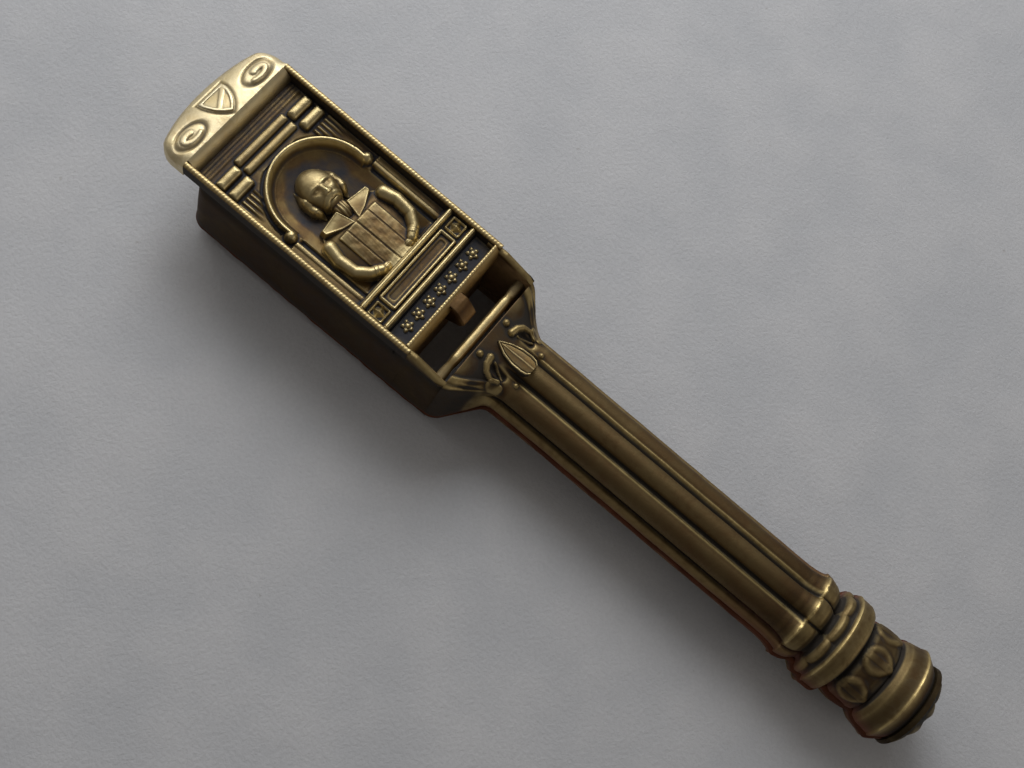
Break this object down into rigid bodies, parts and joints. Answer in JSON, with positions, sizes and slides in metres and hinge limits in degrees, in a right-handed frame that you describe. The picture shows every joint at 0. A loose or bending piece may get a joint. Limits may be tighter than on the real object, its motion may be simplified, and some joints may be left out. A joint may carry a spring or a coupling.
{
  "type": "souvenir bottle opener",
  "caption": "Cast brass bottle opener: box head with a relief plaque and bust, cap-lifter window, round reeded handle and ringed pommel.",
  "frame": {"origin": "on the resting plane, under the middle of the bounding box", "axes": "+X from the crest to the pommel, +Z out of the relief face, +Y to the left of someone looking from the pommel with the relief up"},
  "size_m": [0.1314, 0.0234, 0.0168],
  "materials": {
    "cast_brass": "aged cast brass, darkened in the grooves",
    "relief_brass": "struck brass, nearly black in the recesses, rubbed bright on the high points",
    "bright_brass": "hand-polished brass",
    "tooth_brass": "orange-brown aged brass",
    "braze": "copper-coloured brazing alloy"
  },
  "bodies": {
    "root": {"front_casting": "cast_brass", "back_casting": "cast_brass", "braze_seam": "braze", "face_frame": "bright_brass", "crest_plate": "bright_brass", "crest_shield": "bright_brass", "relief_plaque": "relief_brass", "niche_bust": "relief_brass", "lifter_tooth": "tooth_brass", "lifter_bar": "bright_brass", "shoulder_leaf": "bright_brass", "pommel_boss": "cast_brass"}
  },
  "joints": []
}
